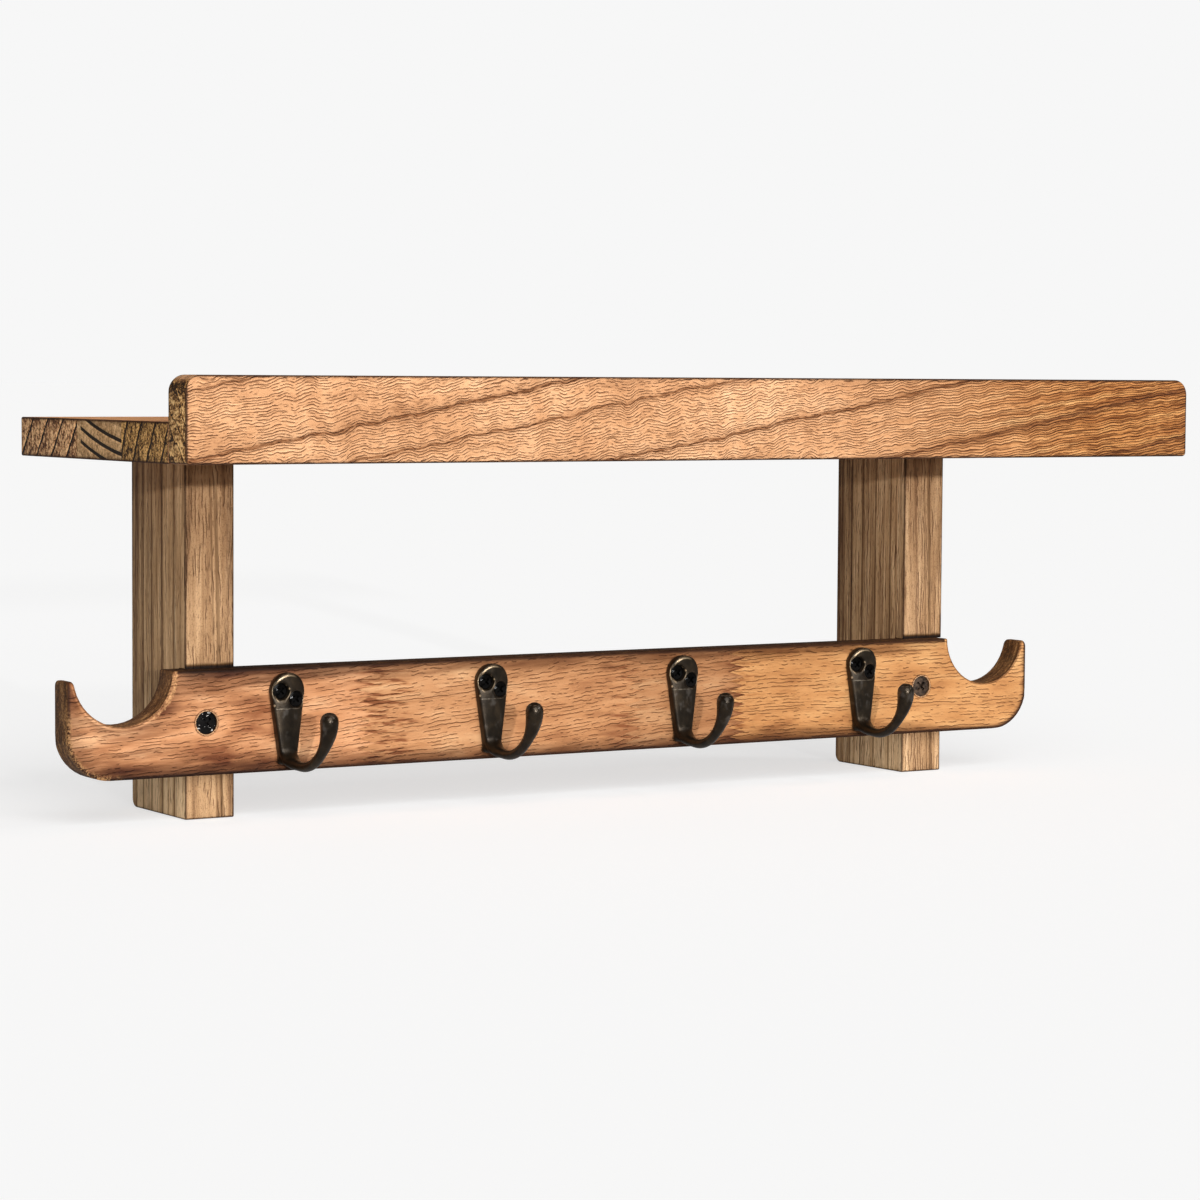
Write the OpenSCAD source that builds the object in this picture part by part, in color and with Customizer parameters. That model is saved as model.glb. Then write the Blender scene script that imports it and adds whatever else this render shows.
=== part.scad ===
// Wall hook rack: a shelf board with an upright front lip, two deep narrow posts under the shelf,
// and a hook rail with upturned horn ends let into the posts' fronts and screwed to them.
// X runs along the rack, +Y points into the wall, Z is up. The wall touches the plane Y = 0.
// The origin is the middle of the shelf board's back face. All sizes are in millimetres.

/* [Shelf] */
// Length of the shelf board and lip
shelf_len = 520; // [480:1:700]
// Thickness of the shelf board
shelf_t = 17; // [14:0.5:22]
// Width of the stave against the wall
stave_back_w = 62; // [50:1:70]
// Width of the middle stave
stave_mid_w = 46; // [35:1:60]
// Width of the stave behind the lip
stave_front_w = 46; // [40:1:60]

/* [Front lip] */
// Height of the lip
lip_h = 36; // [28:1:50]
// Thickness of the lip
lip_t = 17; // [14:0.5:22]
// Rounding of the lip's two top corners
lip_top_r = 7; // [4:0.5:12]
// Rounding of the lip's two bottom corners
lip_bottom_r = 2; // [1:0.5:4]

/* [Posts] */
// Width of each post across the front
post_w = 23.5; // [21:0.5:32]
// Depth of each post from the wall
post_d = 56.5; // [50:0.5:70]
// Length of each post below the shelf
post_len = 158; // [150:1:190]
// Left post's distance from the left end of the shelf
left_inset = 52.5; // [51:0.5:60]
// Right post's distance from the right end of the shelf
right_inset = 57; // [51:0.5:62]
// Rounding of the post's lower back edge
post_foot_r = 4; // [2:0.5:8]
// How deep the rail is let into the posts
housing_d = 6; // [3:0.5:8]

/* [Rail] */
// Length of the hook rail
rail_len = 516; // [500:1:640]
// Height of the hook rail
rail_h = 46; // [42:1:60]
// Thickness of the hook rail
rail_t = 14; // [12:0.5:18]
// Distance from the shelf's underside to the rail's top
rail_drop = 92; // [80:1:100]
// How far the rail's middle sits to the left of the shelf's middle
rail_shift = 8; // [0:0.5:8]
// Radius of the scooped notch at each end
scoop_r = 23; // [18:0.5:24]
// Thickness of the horn tip at its top
horn_tip = 3; // [2.5:0.5:6]
// How much lower the horn tips end than the rail's top edge
horn_drop = 2.7; // [0:0.1:5]
// Rounding of the rail's lower corners
rail_corner_r = 20; // [10:1:20]
// Distance of each rail screw from the rail's end
rail_screw_inset = 65; // [62:0.5:70]

/* [Hooks] */
// Spacing of the hooks along the rail
hook_pitch = 103.5; // [80:0.5:120]
// Distance from the rail's top to the hook plate's top
hook_drop = 2.3; // [2:0.1:5]
// Radius of the plate's round top
plate_top_r = 8.2; // [8:0.1:9]
// Radius of the plate's round bottom
plate_bottom_r = 4.1; // [4:0.1:5]
// Height of the plate
plate_h = 40.2; // [40:0.1:44]
// Thickness of the plate along its ridge
plate_t = 5.2; // [5:0.1:6]
// Radius of the plate's crowned front
crown_r = 20; // [18:1:40]
// Radius of the prong's round bar
prong_r = 2.15; // [2:0.05:2.4]
// Radius of the knob on the prong's end
knob_r = 3.95; // [3.7:0.05:4.2]
// How far each prong leans to the right, in degrees, from the left hook to the right one
hook_lean = [2, 0.5, -1.5, -2]; // [-4:0.5:4]

/* [Hidden] */
$fn = 64;
eps = 1;

// Heights and depths of the main planes
shelf_top_z = shelf_t / 2;
under_z = -shelf_t / 2;
shelf_depth = stave_back_w + stave_mid_w + stave_front_w;
rail_top_z = under_z - rail_drop;
rail_bottom_z = rail_top_z - rail_h;
rail_back_y = housing_d - post_d;
rail_front_y = rail_back_y - rail_t;
post_foot_z = under_z - post_len;

// Positions along the rack
left_post_x = -shelf_len / 2 + left_inset;
right_post_x = shelf_len / 2 - right_inset - post_w;
left_mid_x = left_post_x + post_w / 2;
right_mid_x = right_post_x + post_w / 2;
rail_x0 = -rail_shift - rail_len / 2;
rail_x1 = -rail_shift + rail_len / 2;
rail_screw_x = [rail_x0 + rail_screw_inset, rail_x1 - rail_screw_inset];
rail_screw_z = rail_top_z - rail_h / 2;
hook_top_z = rail_top_z - hook_drop;
hook_x = [for (i = [0:3]) -rail_shift + (i - 1.5) * hook_pitch];

// Hook screws: offsets from the plate's top centre, head, shank and length
hs_upper = [-3.8, -8.05];
hs_lower = [3.6, -11.75];
hs_head_r = 3.5;
hs_head_h = 2;
hs_dome = 0.55;
hs_shank_r = 1.6;
hs_len = 14;
hs_seat = 3.3;
hs_hole_r = 3.65;

// Rail screws
rs_head_r = 5;
rs_head_h = 2.9;
rs_shank_r = 2.2;
rs_len = 38;
rs_recess = 0.7;
rs_rim_r = 5.2;

// Shelf screws, driven down through the shelf into the posts
ss_head_r = 4;
ss_head_h = 2.4;
ss_shank_r = 2;
ss_len = 48;
ss_recess = 0.4;
ss_rim_r = 4.15;
ss_y = [-14, -42.5];

// Dowels between the lip and the shelf
dowel_r = 3;
dowel_len = 26;
dowel_in_lip = 10;
dowel_x = [-225, -75, 75, 225];

// Keyhole hangers let into the posts' backs
hp_w = 15;
hp_h = 46;
hp_t = 1.6;
hp_mid_z = -84;
hp_sink = 0.2;
hp_screw_dz = 18.5;
key_entry_r = 4.6;
key_slot_r = 2.4;
key_run = 11;
key_pocket_d = 7;
hn_head_r = 2.7;
hn_head_h = 1.3;
hn_shank_r = 1.4;
hn_len = 14;

// Clearance kept around every screw and dowel
gap = 0.06;

// A wood screw pointing down from Z = 0, its head's rim at Z = 0
module screw(head_r, head_h, shank_r, len, dome, cross_w, cross_l) {
  rim = 0.25;
  difference() {
    union() {
      screw_top(head_r, dome, rim);
      translate([0, 0, -head_h]) cylinder(r1 = shank_r, r2 = head_r, h = head_h - rim);
      translate([0, 0, 4 - len]) cylinder(r = shank_r, h = len - 4 - head_h);
      translate([0, 0, -len]) cylinder(r1 = 0.3, r2 = shank_r, h = 4);
    }
    for (a = [45, 135]) {
      rotate([0, 0, a]) translate([-cross_l / 2, -cross_w / 2, -head_h * 0.55])
        cube([cross_l, cross_w, head_h + dome]);
    }
  }
}

// A screw head's rim and top, domed or flat
module screw_top(head_r, dome, rim) {
  cap_r = (head_r * head_r + dome * dome) / (2 * max(dome, 0.01));
  if (dome > 0) {
    intersection() {
      translate([0, 0, dome - cap_r]) sphere(r = cap_r);
      translate([0, 0, -rim]) cylinder(r = head_r, h = dome + rim + eps);
    }
  } else {
    translate([0, 0, -rim]) cylinder(r = head_r, h = rim);
  }
}

// The hole a screw leaves, pointing down from Z = 0: clear rim, countersink and shank
module screw_hole(rim_r, head_r, head_h, shank_r, len, up) {
  translate([0, 0, -0.25 - gap]) cylinder(r = rim_r, h = up + 0.25 + gap);
  translate([0, 0, -head_h - gap]) cylinder(r1 = shank_r + gap, r2 = head_r + gap, h = head_h - 0.25);
  translate([0, 0, -len - 0.5]) cylinder(r = shank_r + gap, h = len + 0.5);
}

// Turns a shape that points down -Z so that it points into the wall along +Y
module into_wall(x, y, z) {
  translate([x, y, z]) rotate([90, 0, 0]) children();
}

// Turns a shape that points down -Z so that it points away from the wall along -Y
module out_of_wall(x, y, z) {
  translate([x, y, z]) rotate([-90, 0, 0]) children();
}

module hook_screw(i, at) {
  into_wall(hook_x[i] + at[0], rail_front_y - hs_seat, hook_top_z + at[1])
    screw(hs_head_r, hs_head_h, hs_shank_r, hs_len, hs_dome, 0.9, 3.8);
}

module hook_screw_hole(x, z, at) {
  into_wall(x + at[0], rail_front_y - hs_seat, z + at[1])
    screw_hole(hs_hole_r, hs_head_r, hs_head_h, hs_shank_r, hs_len, 4);
}

module rail_screw(x) {
  into_wall(x, rail_front_y + rs_recess, rail_screw_z)
    screw(rs_head_r, rs_head_h, rs_shank_r, rs_len, 0.3, 1.3, 5.6);
}

module rail_screw_hole(x) {
  into_wall(x, rail_front_y + rs_recess, rail_screw_z)
    screw_hole(rs_rim_r, rs_head_r, rs_head_h, rs_shank_r, rs_len, 3);
}

module shelf_screw(x, y) {
  translate([x, y, shelf_top_z - ss_recess])
    screw(ss_head_r, ss_head_h, ss_shank_r, ss_len, 0, 1.1, 4.4);
}

module shelf_screw_hole(x, y) {
  translate([x, y, shelf_top_z - ss_recess])
    screw_hole(ss_rim_r, ss_head_r, ss_head_h, ss_shank_r, ss_len, 3);
}

module dowel_hole(x) {
  translate([x, -shelf_depth - dowel_in_lip - 0.5, 0]) rotate([-90, 0, 0])
    cylinder(r = dowel_r + gap, h = dowel_len + 1);
}

module lip_dowel(x) {
  translate([x, -shelf_depth - dowel_in_lip, 0]) rotate([-90, 0, 0]) {
    translate([0, 0, 1]) cylinder(r = dowel_r, h = dowel_len - 2);
    cylinder(r1 = dowel_r - 0.8, r2 = dowel_r, h = 1);
    translate([0, 0, dowel_len - 1]) cylinder(r1 = dowel_r, r2 = dowel_r - 0.8, h = 1);
  }
}

// A board lying between two depths behind the lip
module stave(y_back, y_front) {
  translate([-shelf_len / 2, y_front, under_z]) cube([shelf_len, y_back - y_front, shelf_t]);
}

module shelf_stave_back() {
  color("peru") difference() {
    stave(0, -stave_back_w);
    for (x = [left_mid_x, right_mid_x]) for (y = ss_y) shelf_screw_hole(x, y);
  }
}

module shelf_stave_middle() {
  color("burlywood") stave(-stave_back_w, -stave_back_w - stave_mid_w);
}

module shelf_stave_front() {
  color("tan") difference() {
    stave(-stave_back_w - stave_mid_w, -shelf_depth);
    for (x = dowel_x) dowel_hole(x);
  }
}

// Outline of the lip's face, its bottom left corner at the origin
module lip_outline() {
  translate([lip_bottom_r, 0]) square([shelf_len - 2 * lip_bottom_r, lip_h - lip_top_r]);
  translate([0, lip_bottom_r]) square([shelf_len, lip_h - lip_top_r - lip_bottom_r]);
  translate([lip_top_r, lip_bottom_r]) square([shelf_len - 2 * lip_top_r, lip_h - lip_bottom_r]);
  translate([lip_bottom_r, lip_bottom_r]) circle(r = lip_bottom_r);
  translate([shelf_len - lip_bottom_r, lip_bottom_r]) circle(r = lip_bottom_r);
  translate([lip_top_r, lip_h - lip_top_r]) circle(r = lip_top_r);
  translate([shelf_len - lip_top_r, lip_h - lip_top_r]) circle(r = lip_top_r);
}

module front_lip() {
  color("sandybrown") difference() {
    translate([-shelf_len / 2, -shelf_depth, under_z - 0]) rotate([90, 0, 0])
      linear_extrude(height = lip_t) lip_outline();
    for (x = dowel_x) dowel_hole(x);
  }
}

// The recess for a keyhole hanger in a post's back, and the pocket behind its slot
module hanger_recess(x) {
  translate([x - hp_w / 2 - gap, -hp_t - hp_sink, hp_mid_z - hp_h / 2 - gap])
    cube([hp_w + 2 * gap, hp_t + hp_sink + eps, hp_h + 2 * gap]);
  for (z = [hp_mid_z - key_run / 2, hp_mid_z + key_run / 2]) {
    translate([x, -hp_t - hp_sink - key_pocket_d, z]) rotate([-90, 0, 0])
      cylinder(r = key_entry_r + 0.4, h = key_pocket_d + eps);
  }
  translate([x - key_entry_r - 0.4, -hp_t - hp_sink - key_pocket_d, hp_mid_z - key_run / 2])
    cube([2 * key_entry_r + 0.8, key_pocket_d + eps, key_run]);
  for (s = [-1, 1]) hanger_screw_hole(x, hp_mid_z + s * hp_screw_dz);
}

module hanger_screw(x, z) {
  out_of_wall(x, -hp_sink - 0.1, z)
    screw(hn_head_r, hn_head_h, hn_shank_r, hn_len, 0, 0.8, 3);
}

module hanger_screw_hole(x, z) {
  out_of_wall(x, -hp_sink - 0.1, z)
    screw_hole(hn_head_r + gap, hn_head_r, hn_head_h, hn_shank_r, hn_len, 3);
}

module hanger_plate(x) {
  color("silver") difference() {
    translate([x - hp_w / 2, -hp_t - hp_sink, hp_mid_z - hp_h / 2]) cube([hp_w, hp_t, hp_h]);
    translate([x, -hp_t - hp_sink - eps, hp_mid_z - key_run / 2]) rotate([-90, 0, 0])
      cylinder(r = key_entry_r, h = hp_t + 2 * eps);
    translate([x, -hp_t - hp_sink - eps, hp_mid_z + key_run / 2]) rotate([-90, 0, 0])
      cylinder(r = key_slot_r, h = hp_t + 2 * eps);
    translate([x - key_slot_r, -hp_t - hp_sink - eps, hp_mid_z - key_run / 2])
      cube([2 * key_slot_r, hp_t + 2 * eps, key_run]);
    for (s = [-1, 1]) hanger_screw_hole(x, hp_mid_z + s * hp_screw_dz);
  }
}

// Side outline of a post: depth along the first axis, height along the second
module post_outline() {
  translate([0, post_foot_r]) square([post_d, post_len - post_foot_r]);
  translate([post_foot_r, 0]) square([post_d - post_foot_r, post_len]);
  translate([post_foot_r, post_foot_r]) circle(r = post_foot_r);
}

module post(x, mid_x, screw_x) {
  difference() {
    translate([x, 0, post_foot_z]) rotate([90, 0, -90]) mirror([0, 0, 1])
      linear_extrude(height = post_w) post_outline();
    translate([x - eps, -post_d - eps, rail_bottom_z])
      cube([post_w + 2 * eps, housing_d + eps, rail_h]);
    for (y = ss_y) shelf_screw_hole(mid_x, y);
    rail_screw_hole(screw_x);
    hanger_recess(mid_x);
  }
}

module left_post() {
  color("goldenrod") post(left_post_x, left_mid_x, rail_screw_x[0]);
}

module right_post() {
  color("goldenrod") post(right_post_x, right_mid_x, rail_screw_x[1]);
}

// Face outline of the rail, its lower left corner at the origin
module rail_outline() {
  difference() {
    union() {
      translate([rail_corner_r, 0]) square([rail_len - 2 * rail_corner_r, rail_h]);
      translate([0, rail_corner_r]) square([rail_len, rail_h - rail_corner_r]);
      translate([rail_corner_r, rail_corner_r]) circle(r = rail_corner_r);
      translate([rail_len - rail_corner_r, rail_corner_r]) circle(r = rail_corner_r);
    }
    for (x = [scoop_r + horn_tip, rail_len - scoop_r - horn_tip])
      translate([x, rail_h]) circle(r = scoop_r, $fn = 96);
    for (x = [-eps, rail_len - scoop_r - horn_tip])
      translate([x, rail_h - horn_drop]) square([scoop_r + horn_tip + eps, horn_drop + eps]);
  }
}

module hook_rail() {
  color("chocolate") difference() {
    translate([rail_x0, rail_back_y, rail_bottom_z]) rotate([90, 0, 0])
      linear_extrude(height = rail_t) rail_outline();
    for (x = rail_screw_x) rail_screw_hole(x);
    for (x = hook_x) {
      hook_screw_hole(x, hook_top_z, hs_upper);
      hook_screw_hole(x, hook_top_z, hs_lower);
    }
  }
}

// Prong path in the hook's side view, as [distance out from the rail, height below the plate's
// top, half width, half thickness]: a strap-wide foot, a round bar bent upwards and a swelling end
prong_path = [
  [1, -37.2, 3.9, 2.5],
  [4.5, -38.7, 3.6, 2.5],
  [9, -39.8, 3.0, 2.25],
  [13.5, -40.35, 2.5, 2.15],
  [17.8, -40.45, 2.2, prong_r],
  [23, -39.4, prong_r, prong_r],
  [27.9, -37.2, prong_r, prong_r],
  [32.2, -34.0, prong_r, prong_r],
  [35.8, -30.2, 2.45, 2.45],
  [38.4, -26.2, 3.05, 3.05],
  [39.8, -22.4, 3.6, 3.6],
  [40.2, -18.6, knob_r, knob_r]];
prong_sides = 20;
prong_steps = 2;
knob_rings = 5;

// A point on the smooth curve through four neighbouring path points
function smooth_at(p, i, t) = let (
    a = p[max(i - 1, 0)], b = p[i], c = p[i + 1], d = p[min(i + 2, len(p) - 1)])
  0.5 * (2 * b + (c - a) * t + (2 * a - 5 * b + 4 * c - d) * t * t
    + (3 * b - a - 3 * c + d) * t * t * t);

prong_line = concat(
  [for (i = [0:len(prong_path) - 2]) for (k = [0:prong_steps - 1])
    smooth_at(prong_path, i, k / prong_steps)],
  [prong_path[len(prong_path) - 1]]);

// Direction of the prong at one of its rings, as an angle above the horizontal
function prong_dir(i) = let (
    a = prong_line[max(i - 1, 0)], b = prong_line[min(i + 1, len(prong_line) - 1)])
  atan2(b[1] - a[1], b[0] - a[0]);

// One ring of points round the place c, tipped to the direction dir
function prong_ring(c, dir, half_w, half_t) = [for (k = [0:prong_sides - 1]) let (
    u = 360 * k / prong_sides, n = half_t * sin(u))
  [half_w * cos(u), -(c[0] - n * sin(dir)), c[1] + n * cos(dir)]];

module prong() {
  last = len(prong_line) - 1;
  end_dir = prong_dir(last);
  end_at = prong_line[last];
  rings = concat(
    [for (i = [0:last]) prong_ring(prong_line[i], prong_dir(i), prong_line[i][2], prong_line[i][3])],
    [for (j = [1:knob_rings]) let (w = 84 * j / knob_rings, d = knob_r * sin(w))
      prong_ring([end_at[0] + d * cos(end_dir), end_at[1] + d * sin(end_dir)], end_dir,
        knob_r * cos(w), knob_r * cos(w))]);
  count = len(rings);
  n = prong_sides;
  polyhedron(
    points = [for (r = rings) for (q = r) q],
    faces = concat(
      [for (i = [0:count - 2]) for (k = [0:n - 1])
        [i * n + k, (i + 1) * n + k, (i + 1) * n + (k + 1) % n]],
      [for (i = [0:count - 2]) for (k = [0:n - 1])
        [i * n + k, (i + 1) * n + (k + 1) % n, i * n + (k + 1) % n]],
      [[for (k = [0:n - 1]) k]],
      [[for (k = [n - 1:-1:0]) (count - 1) * n + k]]));
}

// The hook plate before its front is crowned: two rounds joined by a taper whose corners lie
// just inside them. Its top centre is at the origin and its back on the plane Y = 0.
module plate_blank() {
  low_z = plate_bottom_r - plate_h;
  lean = asin((plate_top_r - plate_bottom_r) / (-plate_top_r - low_z));
  top_in = 0.995 * plate_top_r;
  low_in = 0.995 * plate_bottom_r;
  translate([0, 0, -plate_top_r]) rotate([90, 0, 0]) cylinder(r = plate_top_r, h = plate_t);
  translate([0, 0, low_z]) rotate([90, 0, 0]) cylinder(r = plate_bottom_r, h = plate_t);
  rotate([90, 0, 0]) linear_extrude(height = plate_t)
    polygon([[-top_in * cos(lean), -plate_top_r - top_in * sin(lean)],
      [top_in * cos(lean), -plate_top_r - top_in * sin(lean)],
      [low_in * cos(lean), low_z - low_in * sin(lean)],
      [-low_in * cos(lean), low_z - low_in * sin(lean)]]);
}

module hook(i) {
  color("dimgray") difference() {
    translate([hook_x[i], rail_front_y, hook_top_z]) {
      intersection() {
        plate_blank();
        translate([0, crown_r - plate_t, -plate_h - eps]) cylinder(r = crown_r, h = plate_h + 2 * eps, $fn = 128);
      }
      rotate([0, 0, hook_lean[i]]) prong();
    }
    hook_screw_hole(hook_x[i], hook_top_z, hs_upper);
    hook_screw_hole(hook_x[i], hook_top_z, hs_lower);
  }
}

module hook_1() {
  hook(0);
}

module hook_2() {
  hook(1);
}

module hook_3() {
  hook(2);
}

module hook_4() {
  hook(3);
}

module hook_1_screw_upper() {
  color("black") hook_screw(0, hs_upper);
}

module hook_1_screw_lower() {
  color("black") hook_screw(0, hs_lower);
}

module hook_2_screw_upper() {
  color("black") hook_screw(1, hs_upper);
}

module hook_2_screw_lower() {
  color("black") hook_screw(1, hs_lower);
}

module hook_3_screw_upper() {
  color("black") hook_screw(2, hs_upper);
}

module hook_3_screw_lower() {
  color("black") hook_screw(2, hs_lower);
}

module hook_4_screw_upper() {
  color("black") hook_screw(3, hs_upper);
}

module hook_4_screw_lower() {
  color("black") hook_screw(3, hs_lower);
}

module rail_screw_left() {
  color("black") rail_screw(rail_screw_x[0]);
}

module rail_screw_right() {
  color("black") rail_screw(rail_screw_x[1]);
}

module shelf_screw_left_back() {
  color("gray") shelf_screw(left_mid_x, ss_y[0]);
}

module shelf_screw_left_front() {
  color("gray") shelf_screw(left_mid_x, ss_y[1]);
}

module shelf_screw_right_back() {
  color("gray") shelf_screw(right_mid_x, ss_y[0]);
}

module shelf_screw_right_front() {
  color("gray") shelf_screw(right_mid_x, ss_y[1]);
}

module lip_dowel_1() {
  color("wheat") lip_dowel(dowel_x[0]);
}

module lip_dowel_2() {
  color("wheat") lip_dowel(dowel_x[1]);
}

module lip_dowel_3() {
  color("wheat") lip_dowel(dowel_x[2]);
}

module lip_dowel_4() {
  color("wheat") lip_dowel(dowel_x[3]);
}

module hanger_plate_left() {
  hanger_plate(left_mid_x);
}

module hanger_plate_right() {
  hanger_plate(right_mid_x);
}

module hanger_screw_left_top() {
  color("silver") hanger_screw(left_mid_x, hp_mid_z + hp_screw_dz);
}

module hanger_screw_left_bottom() {
  color("silver") hanger_screw(left_mid_x, hp_mid_z - hp_screw_dz);
}

module hanger_screw_right_top() {
  color("silver") hanger_screw(right_mid_x, hp_mid_z + hp_screw_dz);
}

module hanger_screw_right_bottom() {
  color("silver") hanger_screw(right_mid_x, hp_mid_z - hp_screw_dz);
}

shelf_stave_back();
shelf_stave_middle();
shelf_stave_front();
front_lip();
left_post();
right_post();
hook_rail();
hook_1();
hook_2();
hook_3();
hook_4();
hook_1_screw_upper();
hook_1_screw_lower();
hook_2_screw_upper();
hook_2_screw_lower();
hook_3_screw_upper();
hook_3_screw_lower();
hook_4_screw_upper();
hook_4_screw_lower();
rail_screw_left();
rail_screw_right();
shelf_screw_left_back();
shelf_screw_left_front();
shelf_screw_right_back();
shelf_screw_right_front();
lip_dowel_1();
lip_dowel_2();
lip_dowel_3();
lip_dowel_4();
hanger_plate_left();
hanger_plate_right();
hanger_screw_left_top();
hanger_screw_left_bottom();
hanger_screw_right_top();
hanger_screw_right_bottom();
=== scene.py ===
"""Wall hook rack: the looks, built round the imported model.

Objects are in metres, as the frame is. Lengths in the shaders are millimetres.
"""

import functools
import math

import bmesh
import bpy
from mathutils import Matrix, Vector, noise


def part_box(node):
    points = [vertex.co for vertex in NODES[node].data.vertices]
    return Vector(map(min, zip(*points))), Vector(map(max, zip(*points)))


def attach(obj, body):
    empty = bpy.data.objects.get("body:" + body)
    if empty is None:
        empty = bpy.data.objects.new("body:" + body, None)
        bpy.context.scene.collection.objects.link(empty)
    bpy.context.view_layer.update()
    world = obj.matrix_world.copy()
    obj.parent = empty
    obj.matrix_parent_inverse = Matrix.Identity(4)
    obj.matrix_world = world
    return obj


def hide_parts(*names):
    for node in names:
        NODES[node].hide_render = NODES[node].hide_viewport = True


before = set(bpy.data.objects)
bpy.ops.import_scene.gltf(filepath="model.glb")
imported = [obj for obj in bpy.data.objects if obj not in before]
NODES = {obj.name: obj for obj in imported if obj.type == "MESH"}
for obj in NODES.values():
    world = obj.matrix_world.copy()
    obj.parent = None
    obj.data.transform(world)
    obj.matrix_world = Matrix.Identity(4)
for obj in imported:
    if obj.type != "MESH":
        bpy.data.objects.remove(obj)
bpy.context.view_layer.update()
MM = 0.001

# The rail's outline, in millimetres: round scoops cut from its top, and its rounded lower corners
SCOOP_INSET = 26.0
SCOOP_RADIUS = 23.0
CORNER_RADIUS = 20.0


def mm_box(node):
    """A node's lowest and highest corner in millimetres."""
    lo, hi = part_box(node)
    return [c * 1000 for c in lo], [c * 1000 for c in hi]


def shelf_box():
    """The whole shelf's lowest and highest corner in millimetres, its three staves together."""
    return mm_box("shelf_stave_front")[0], mm_box("shelf_stave_back")[1]


def mm_centre(node):
    """The middle of a node's box in millimetres."""
    return [(a + b) / 2 for a, b in zip(*mm_box(node))]


def tone(r, g, b):
    """A surface colour from display values of 0 to 255."""
    levels = [c / 255 for c in (r, g, b)]
    return tuple(v / 12.92 if v < 0.0404 else ((v + 0.055) / 1.055) ** 2.4 for v in levels) + (1.0,)


def grey(level):
    """A neutral colour."""
    return (level, level, level, 1)


# ---------------------------------------------------------------- shader writing


class Val:
    """A value in a node graph. Arithmetic on it adds Math nodes."""

    def __init__(self, graph, socket):
        self.graph, self.socket = graph, socket

    def __add__(self, other):
        return self.graph.math("ADD", self, other)

    def __sub__(self, other):
        return self.graph.math("SUBTRACT", self, other)

    def __mul__(self, other):
        return self.graph.math("MULTIPLY", self, other)

    def __truediv__(self, other):
        return self.graph.math("DIVIDE", self, other)

    def __rsub__(self, other):
        return self.graph.math("SUBTRACT", other, self)

    __radd__ = __add__
    __rmul__ = __mul__


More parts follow.
